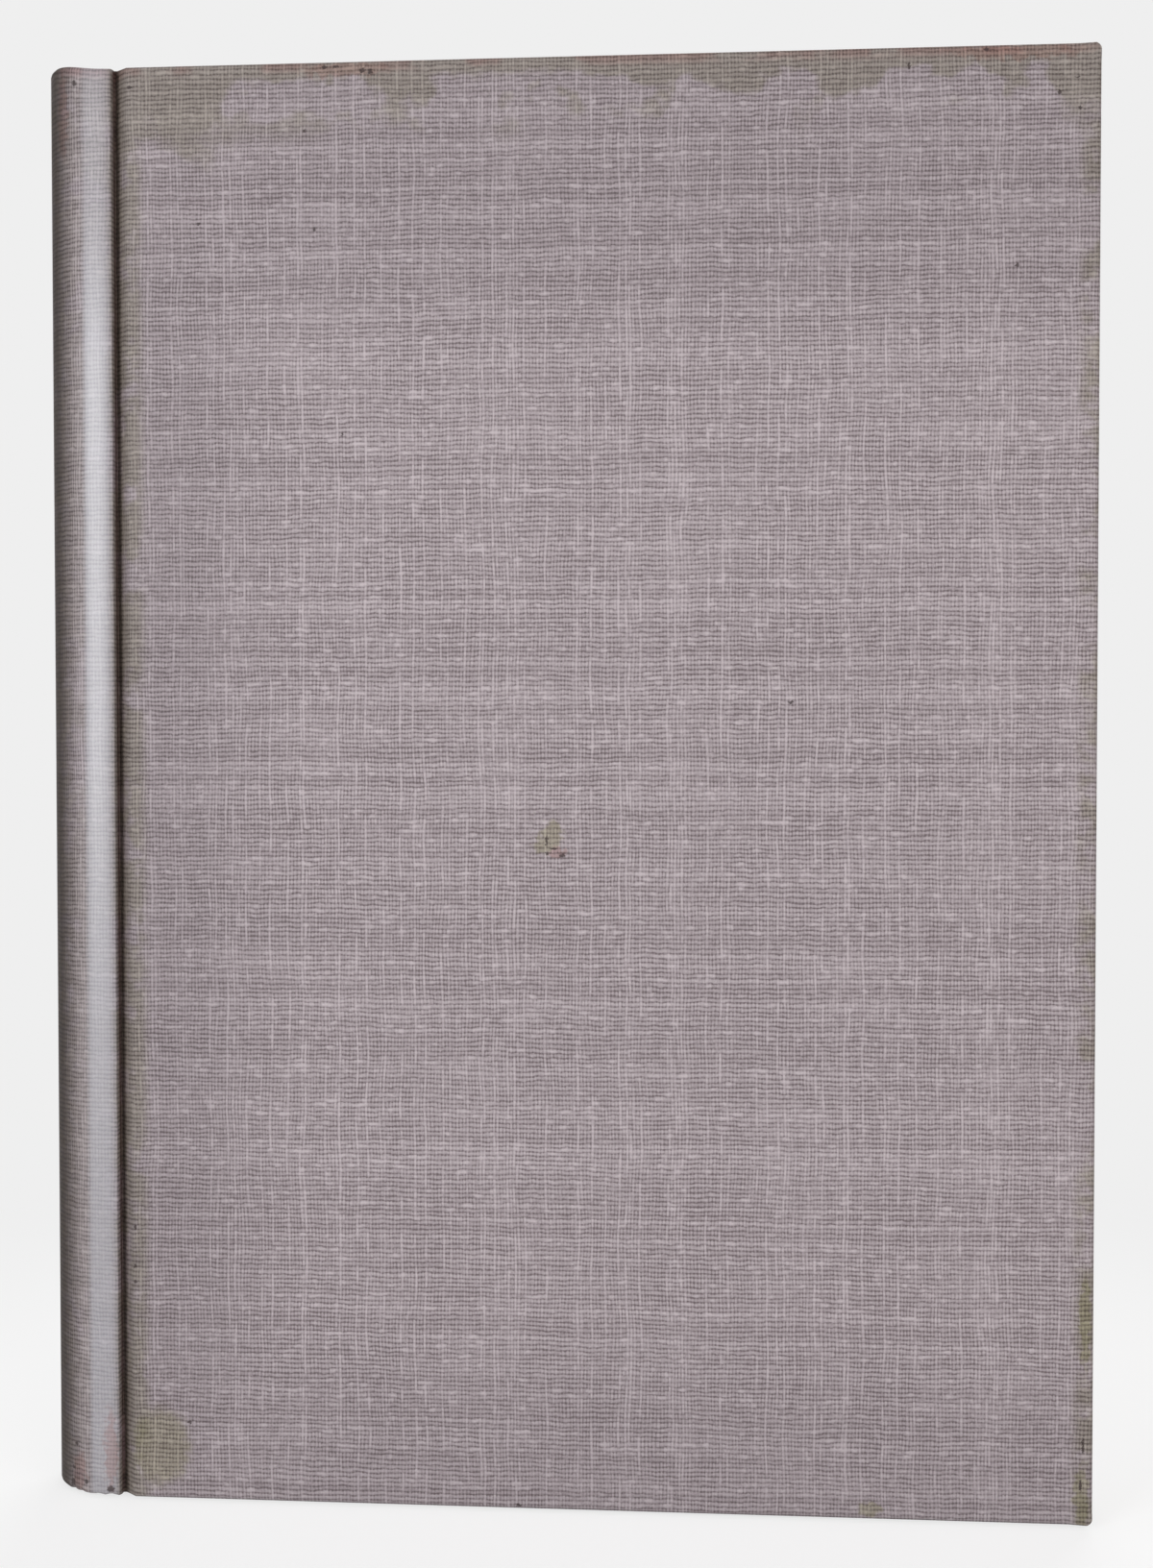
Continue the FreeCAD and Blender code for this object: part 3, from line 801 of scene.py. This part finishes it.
bpy.ops.object.select_all(action="DESELECT")
paste_middle = ((page_fore + slope_top) / 2, -paste_levels["board"], (page_tail + page_head) / 2)
bpy.ops.mesh.primitive_grid_add(
    x_subdivisions=24, y_subdivisions=36, size=1, location=paste_middle, rotation=(math.pi / 2, 0, 0)
)
front_paste = bpy.context.object
front_paste.name = "front_pastedown_paper"
front_paste.scale = (page_fore - slope_top, page_head - page_tail, 1)
bpy.ops.object.transform_apply(location=True, rotation=True, scale=True)
bpy.ops.object.mode_set(mode="EDIT")
for edge in (turn_in_fore, mull_edge):
    cut_across([edge - step_run, edge + step_run], (1, 0, 0))
for edge in (turn_in_tail, turn_in_head):
    cut_across([edge - step_run, edge + step_run], (0, 0, 1))


def pull_paper(level, wanted):
    """Bring a part of the glued leaf to the level of what lies under it."""
    pick(front_paste, "VERT", wanted)
    bpy.ops.transform.translate(value=(0, paste_levels["board"] - level, 0))


def over_cloth(spot, corners):
    return (
        spot.x > turn_in_fore + step_run / 2
        or spot.z < turn_in_tail - step_run / 2
        or spot.z > turn_in_head + step_run / 2
    )


def over_mull(spot, corners):
    return spot.x < mull_edge - step_run / 2 and not over_cloth(spot, corners)


pull_paper(paste_levels["cloth"], over_cloth)
pull_paper(paste_levels["mull"], over_mull)
pick(front_paste, "EDGE", lambda middle, ends: all(end.x < slope_top + 1e-6 for end in ends))
for x, inward in paste_end_steps:
    draw_by(x=x, y=inward)
bpy.ops.mesh.select_all(action="SELECT")
bpy.ops.mesh.normals_make_consistent(inside=False)
bpy.ops.object.mode_set(mode="OBJECT")
if front_paste.data.polygons[0].normal.y < 0:
    front_paste.data.flip_normals()
thicken(front_paste, paper_thickness, 1.0)
bpy.ops.object.shade_smooth_by_angle(angle=math.radians(40))
back_paste = back_copy(front_paste, "back_pastedown_paper")
for piece, side in ((front_paste, "front"), (back_paste, "back")):
    side + "_cover"
    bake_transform(piece)
    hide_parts(side + "_pastedown")

paper, paper_shader, start = new_material("endpaper", 0.75, 0.3)
spot = start.node("TexCoord", {}, {}, 3)
pulp = grain(spot, 900.0, 3.0)
cloudy = grain(spot, 22.0, 3.0)
paper_colour = tint((0.66, 0.57, 0.42, 1.0), (0.76, 0.69, 0.55, 1.0), 0.5 * pulp + 0.5 * cloudy)
connect(paper_colour, paper_shader, "Base Color")
connect(relief(pulp, 0.25, 0.00005), paper_shader, "Normal")
for piece in (front_paste, back_paste):
    cover_in(piece, paper)
for name in ("front_flyleaf", "back_flyleaf"):
    cover_in(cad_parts[name], paper)


# Leaves
# Leaves of book paper, sewn, rounded and backed, drawn as thin columns of uneven length. Their back
# ends fan out into the two shoulders, and the fore-edge is hollowed much as the back is rounded.
leaf_half = 0.0074
back_radius = 0.00895
hollow_radius = 0.00867
hollow_middle = page_fore + math.sqrt(hollow_radius**2 - leaf_half**2)
back_spread = math.radians(86.4)
fan_start = -0.0662
leaf_columns = 74
leaf_rows = 30
fore_uneven = 0.00005
head_uneven = 0.00006

bpy.ops.object.select_all(action="DESELECT")
bpy.ops.mesh.primitive_grid_add(
    x_subdivisions=leaf_rows, y_subdivisions=leaf_columns, size=2, location=(0, 0, 0)
)
leaves = bpy.context.object
leaves.name = "leaves"
dice = random.Random(7)
fore_shift = [dice.uniform(-fore_uneven, fore_uneven) for _ in range(leaf_columns + 1)]
head_shift = [dice.uniform(-head_uneven, head_uneven) for _ in range(leaf_columns + 1)]
leaf_of = leaves.data.attributes.new("leaf", "FLOAT", "POINT")
for vertex in leaves.data.vertices:
    share, leaf = (1 - vertex.co.x) / 2, vertex.co.y
    column = round((leaf + 1) / 2 * leaf_columns)
    fore = hollow_middle - math.sqrt(hollow_radius**2 - (leaf_half * leaf) ** 2) + fore_shift[column]
    spread = back_spread * leaf
    back = barrel_middle - back_radius * math.cos(spread)
    if share < 0.5:
        x = fore + (fan_start - fore) * share * 2
        level = leaf_half * leaf
    else:
        fan = (share - 0.5) * 2
        x = fan_start + (back - fan_start) * fan
        level = leaf_half * leaf + (back_radius * math.sin(spread) - leaf_half * leaf) * fan
    vertex.co = (x, level, page_tail)
    leaf_of.data[vertex.index].value = leaf * leaf_half
bpy.ops.object.mode_set(mode="EDIT")
bpy.ops.mesh.select_all(action="SELECT")
draw_by(z=page_head - page_tail)
bpy.ops.mesh.select_all(action="SELECT")
bpy.ops.mesh.normals_make_consistent(inside=False)
bpy.ops.object.mode_set(mode="OBJECT")
leaf_of = leaves.data.attributes["leaf"]
for vertex in leaves.data.vertices:
    column = round((leaf_of.data[vertex.index].value / leaf_half + 1) / 2 * leaf_columns)
    vertex.co.z += head_shift[column] if vertex.co.z > book_height / 2 else head_shift[-1 - column]
bpy.ops.object.shade_smooth_by_angle(angle=math.radians(30))
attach(leaves, "book_block")
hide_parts("text_block")

page, page_shader, start = new_material("page edges", 0.8, 0.25)
spot = start.node("TexCoord", {}, {}, 3)
leaf_place = start.node("Attribute", {"attribute_name": "leaf"}, {}, 2) * 1000
run = start.node("SeparateXYZ", {}, {"Vector": spot}, 0) * 1000
rise = start.node("SeparateXYZ", {}, {"Vector": spot}, 2) * 1000
leaf_line = grain(at(leaf_place * 9.0, run / 30, rise / 60), 1.0, 2.0)
gather_line = smooth(grain(at(leaf_place * 2.2, run / 60, rise / 90), 1.0, 1.0), 0.55, 0.75)
page_colour = tint((0.40, 0.31, 0.20, 1.0), (0.66, 0.56, 0.41, 1.0), smooth(leaf_line, 0.3, 0.62))
page_colour = tint(page_colour, (0.36, 0.27, 0.17, 1.0), gather_line * 0.35)
connect(page_colour, page_shader, "Base Color")
connect(relief(leaf_line, 0.6, 0.00012), page_shader, "Normal")
cover_in(leaves, page)


# Head and tail bands
# A small roll of cotton thread worked in two colours over a core, on a tape that is glued across the
# back of the leaves at each end.
bead_radius = 0.00075
bead_ring = back_radius - 0.00035
band_half_angle = math.radians(75)
tape_drop = 0.011
tape_thickness = 0.00025
tape_columns = 40
thread_width = 0.0008
winding_lean = 400
tape_corner = Vector(
    (
        barrel_middle - back_radius * math.cos(band_half_angle),
        -back_radius * math.sin(band_half_angle),
        0,
    )
)

thread, thread_shader, start = new_material("band thread", 0.6, 0.4)
spot = start.node("TexCoord", {}, {}, 3)
run = start.node("SeparateXYZ", {}, {"Vector": spot}, 0)
side = start.node("SeparateXYZ", {}, {"Vector": spot}, 1)
rise = start.node("SeparateXYZ", {}, {"Vector": spot}, 2)
wound = start.maths("ARCTAN2", side, barrel_middle - run) * (bead_ring / thread_width)
wound = wound + rise * winding_lean
second_thread = wound.maths("GREATER_THAN", wound.maths("FRACT", wound * 0.5), 0.5)
thread_round = wound.maths("PINGPONG", wound, 0.5) * 2
thread_fibre = grain(spot, 5000.0, 2.0)
thread_colour = tint((0.70, 0.63, 0.48, 1.0), (0.30, 0.22, 0.23, 1.0), second_thread)
# Painted shade darkens each winding towards its edges, where it meets the next.
thread_colour = tint(thread_colour, (0.55, 0.52, 0.48, 1.0), (1 - thread_round) * 0.7, "MULTIPLY")
connect(thread_colour, thread_shader, "Base Color")
connect(relief(thread_round + 0.3 * thread_fibre, 0.8, 0.0002), thread_shader, "Normal")

gauze, gauze_shader, start = new_material("starched gauze", 0.85, 0.2)
spot = start.node("TexCoord", {}, {}, 3)
run = start.node("SeparateXYZ", {}, {"Vector": spot}, 0)
side = start.node("SeparateXYZ", {}, {"Vector": spot}, 1)
rise = start.node("SeparateXYZ", {}, {"Vector": spot}, 2)
gauze_pitch = 0.0009
upright_strand = smooth(run.maths("PINGPONG", (run + side) / gauze_pitch, 0.5), 0.20, 0.34)
level_strand = smooth(rise.maths("PINGPONG", rise / gauze_pitch, 0.5), 0.20, 0.34)
strand = upright_strand.maths("MAXIMUM", upright_strand, level_strand)
strand_tone = strand * (0.7 + 0.3 * grain(spot, 900.0))
gauze_colour = tint((0.34, 0.28, 0.19, 1.0), (0.70, 0.64, 0.50, 1.0), strand_tone)
connect(gauze_colour, gauze_shader, "Base Color")
connect(relief(strand, 0.5, 0.0001), gauze_shader, "Normal")

band_pieces = []
for name, bead_height, tape_step in (
    ("headband_roll", page_head + bead_radius, -tape_drop),
    ("tailband_roll", page_tail - bead_radius, tape_drop),
):
    bpy.ops.object.select_all(action="DESELECT")
    bpy.ops.mesh.primitive_torus_add(
        major_radius=bead_ring, minor_radius=bead_radius, major_segments=96, minor_segments=14,
        location=(barrel_middle, 0, bead_height),
    )
    band = bpy.context.object
    band.name = name
    bpy.ops.object.transform_apply(location=True, rotation=True, scale=True)
    bpy.ops.object.mode_set(mode="EDIT")
    pick(band, "FACE", lambda middle, corners: middle.x > barrel_middle)
    bpy.ops.mesh.delete(type="FACE")
    for side in (1, -1):
        bpy.ops.mesh.select_all(action="SELECT")
        bpy.ops.mesh.bisect(
            plane_co=(barrel_middle, 0, bead_height),
            plane_no=(math.sin(band_half_angle), side * math.cos(band_half_angle), 0),
            use_fill=True,
            clear_outer=True,
        )
    bpy.ops.object.mode_set(mode="OBJECT")
    band.data.materials.append(thread)
    tape_end = page_head if tape_step < 0 else page_tail
    tape = start_from_point(name + "_tape", tape_corner + Vector((0, 0, tape_end)))
    draw_by(z=tape_step)
    bpy.ops.mesh.select_all(action="SELECT")
    draw_round(2 * band_half_angle, (barrel_middle, 0, 0), (0, 0, 1), tape_columns)
    bpy.ops.mesh.select_all(action="SELECT")
    bpy.ops.mesh.normals_make_consistent(inside=False)
    bpy.ops.object.mode_set(mode="OBJECT")
    if tape.data.polygons[tape_columns // 2].normal.x > 0:
        tape.data.flip_normals()
    thicken(tape, tape_thickness, 1.0)
    tape.data.materials.append(gauze)
    band.select_set(True)
    bpy.context.view_layer.objects.active = band
    bpy.ops.object.join()
    bpy.ops.object.shade_smooth_by_angle(angle=math.radians(40))
    band_pieces.append(band)
for band, node in zip(band_pieces, ("headband", "tailband")):
    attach(band, "book_block")
    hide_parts(node)


# Boards, mull and linings
# What the cloth and the endpapers hide: two grey boards, a card strip in the spine, a paper lining on
# the backs of the leaves, and the starched gauze that ties the leaves to the boards.
board_nodes = ("front_board", "back_board")
inner_finishes = (
    ("grey board", board_nodes, (0.20, 0.165, 0.125, 1.0), (0.33, 0.285, 0.22, 1.0), 420.0),
    ("spine card", ("spine_inlay",), (0.30, 0.25, 0.18, 1.0), (0.43, 0.37, 0.28, 1.0), 700.0),
    ("lining paper", ("spine_lining",), (0.27, 0.18, 0.10, 1.0), (0.40, 0.28, 0.17, 1.0), 1100.0),
)
for name, nodes, dark_fibre, light_fibre, fibre_scale in inner_finishes:
    material, shader, start = new_material(name, 0.85, 0.2)
    spot = start.node("TexCoord", {}, {}, 3)
    fibre = grain(spot, fibre_scale, 4.0, 0.6)
    cloudy = grain(spot, 60.0, 2.0)
    connect(tint(dark_fibre, light_fibre, 0.7 * fibre + 0.3 * cloudy), shader, "Base Color")
    connect(relief(fibre, 0.4, 0.0001), shader, "Normal")
    for node in nodes:
        cover_in(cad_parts[node], material)
for node in ("mull", "front_mull_flap", "back_mull_flap"):
    cover_in(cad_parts[node], gauze)


# Floor, lights and background
# A pale floor takes the book's soft shadow and fades into the plain backdrop. One large lamp stands
# at the left, one in front and one behind, and a dim white sky, which itself isn't seen, fills in.
backdrop_grey = 0.863
floor_lift = 0.72


def seen_directly(start):
    """1 for what the camera sees, also by way of gloss or glass, and 0 for all other light."""
    seen = start.node("LightPath", {}, {}, "Is Camera Ray")
    for ray in ("Is Glossy Ray", "Is Transmission Ray"):
        seen = seen.maths("MAXIMUM", seen, start.node("LightPath", {}, {}, ray))
    return seen


bpy.ops.object.select_all(action="DESELECT")
bpy.ops.mesh.primitive_plane_add(size=8, location=(0, 0, -0.0005))
floor = bpy.context.object
floor.name = "floor"
floor_material, floor_shader, start = new_material("floor", 0.9, 0.1)
floor_shader.inputs["Base Color"].default_value = (0.30, 0.30, 0.30, 1.0)
floor.data.materials.append(floor_material)
spot = start.node("TexCoord", {}, {}, 3)
away = spot.node("VectorMath", {"operation": "LENGTH"}, {0: spot}, 1)
seen = seen_directly(start)
plain = start.node("Emission", {}, {"Color": (backdrop_grey,) * 3 + (1.0,), "Strength": 1.0})
lift = start.node("Emission", {}, {"Color": (floor_lift,) * 3 + (1.0,), "Strength": 1.0})
lit_floor = start.node("AddShader", {}, {0: start, 1: lift})
far = smooth(away, 0.10, 0.24)
near_floor = start.node("MixShader", {}, {0: far, 1: lit_floor, 2: plain})
mixed = start.node("MixShader", {}, {0: seen, 1: start, 2: near_floor})
floor_material.node_tree.links.new(
    mixed.socket, floor_material.node_tree.nodes["Material Output"].inputs["Surface"]
)


def soft_light(name, place, towards, size, power, colour=(1, 1, 1)):
    """A rectangular lamp at a place, facing another place."""
    bpy.ops.object.light_add(type="AREA", location=place)
    light = bpy.context.object
    light.name = name
    light.data.shape = "RECTANGLE"
    light.data.size, light.data.size_y = size
    light.data.energy = power
    light.data.color = colour
    direction = Vector(towards) - Vector(place)
    light.rotation_euler = direction.to_track_quat("-Z", "Y").to_euler()


soft_light("window", (-0.67, -0.92, 0.26), (-0.07, 0, 0.12), (0.56, 0.80), 10.0, (0.96, 0.98, 1.0))
soft_light("front fill", (0.75, -0.95, 0.35), (0.04, 0, 0.11), (0.8, 0.8), 7.0, (1.0, 0.96, 0.94))
soft_light("back fill", (0.25, 1.3, 0.6), (0, 0, 0.1), (1.0, 1.0), 10.0)

world = bpy.context.scene.world or bpy.data.worlds.new("World")
bpy.context.scene.world = world
world.use_nodes = True
nodes, links = world.node_tree.nodes, world.node_tree.links
nodes.clear()
lit = nodes.new("ShaderNodeBackground")
lit.inputs["Color"].default_value = (1, 1, 1, 1)
lit.inputs["Strength"].default_value = 0.25
sky = Wire(lit.outputs[0])
backdrop = sky.node("Background", {}, {"Color": (backdrop_grey,) * 3 + (1.0,)})
seen = seen_directly(sky)
shown = sky.node("MixShader", {}, {0: seen, 1: sky, 2: backdrop})
output = nodes.new("ShaderNodeOutputWorld")
links.new(shown.socket, output.inputs["Surface"])
bpy.context.scene.view_settings.view_transform = "Standard"
